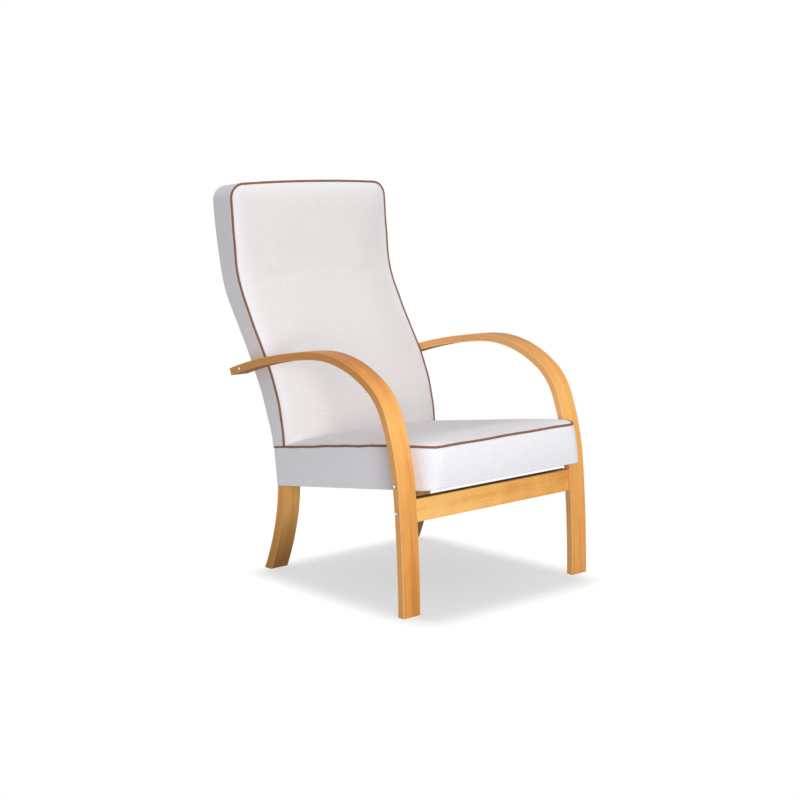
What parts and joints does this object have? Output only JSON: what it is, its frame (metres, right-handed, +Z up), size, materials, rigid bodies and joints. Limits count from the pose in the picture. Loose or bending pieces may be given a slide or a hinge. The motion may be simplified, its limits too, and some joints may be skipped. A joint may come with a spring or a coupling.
{
  "type": "fireside chair",
  "caption": "High-backed upholstered fireside chair with a padded seat and curved back, contrast piping and bent laminated wood arms and legs.",
  "frame": {"origin": "on the floor, under the middle of the chair's overall width and depth", "axes": "+Z up, the chair faces -Y, and +X is the sitter's left"},
  "size_m": [0.668, 0.8542, 1.0266],
  "materials": {
    "beech": "satin",
    "frame_wood": "matte",
    "cover_fabric": "matte",
    "piping": "matte",
    "foam": "matte",
    "webbing": "matte",
    "zinc": "satin"
  },
  "bodies": {
    "root": {"arm_leg_left": "beech", "arm_leg_right": "beech", "back_bolt_left": "zinc", "back_bolt_right": "zinc", "back_bottom_rail": "frame_wood", "back_cover": "cover_fabric", "back_foam": "foam", "back_lumbar_rail": "frame_wood", "back_nut_left": "zinc", "back_nut_right": "zinc", "back_outside_panel": "cover_fabric", "back_piping": "piping", "back_top_rail": "frame_wood", "back_webbing_1": "webbing", "back_webbing_2": "webbing", "back_webbing_3": "webbing", "back_webbing_4": "webbing", "corner_block_front_left": "frame_wood", "corner_block_front_right": "frame_wood", "corner_block_rear_left": "frame_wood", "corner_block_rear_right": "frame_wood", "front_rail": "beech", "leg_bolt_left_lower": "zinc", "leg_bolt_left_upper": "zinc", "leg_bolt_right_lower": "zinc", "leg_bolt_right_upper": "zinc", "rail_bolt_left": "zinc", "rail_bolt_right": "zinc", "rail_dowel_left_lower": "frame_wood", "rail_dowel_left_upper": "frame_wood", "rail_dowel_right_lower": "frame_wood", "rail_dowel_right_upper": "frame_wood", "rail_nut_left": "zinc", "rail_nut_right": "zinc", "rear_leg_left": "beech", "rear_leg_right": "beech", "seat_bolt_left": "zinc", "seat_bolt_right": "zinc", "seat_cover": "cover_fabric", "seat_dust_cover": "webbing", "seat_foam": "foam", "seat_front_rail": "frame_wood", "seat_nut_left": "zinc", "seat_nut_right": "zinc", "seat_piping": "piping", "seat_rear_rail": "frame_wood", "seat_side_rail_left": "frame_wood", "seat_side_rail_right": "frame_wood", "seat_webbing_1": "webbing", "seat_webbing_2": "webbing", "seat_webbing_3": "webbing", "seat_webbing_4": "webbing"}
  },
  "joints": []
}
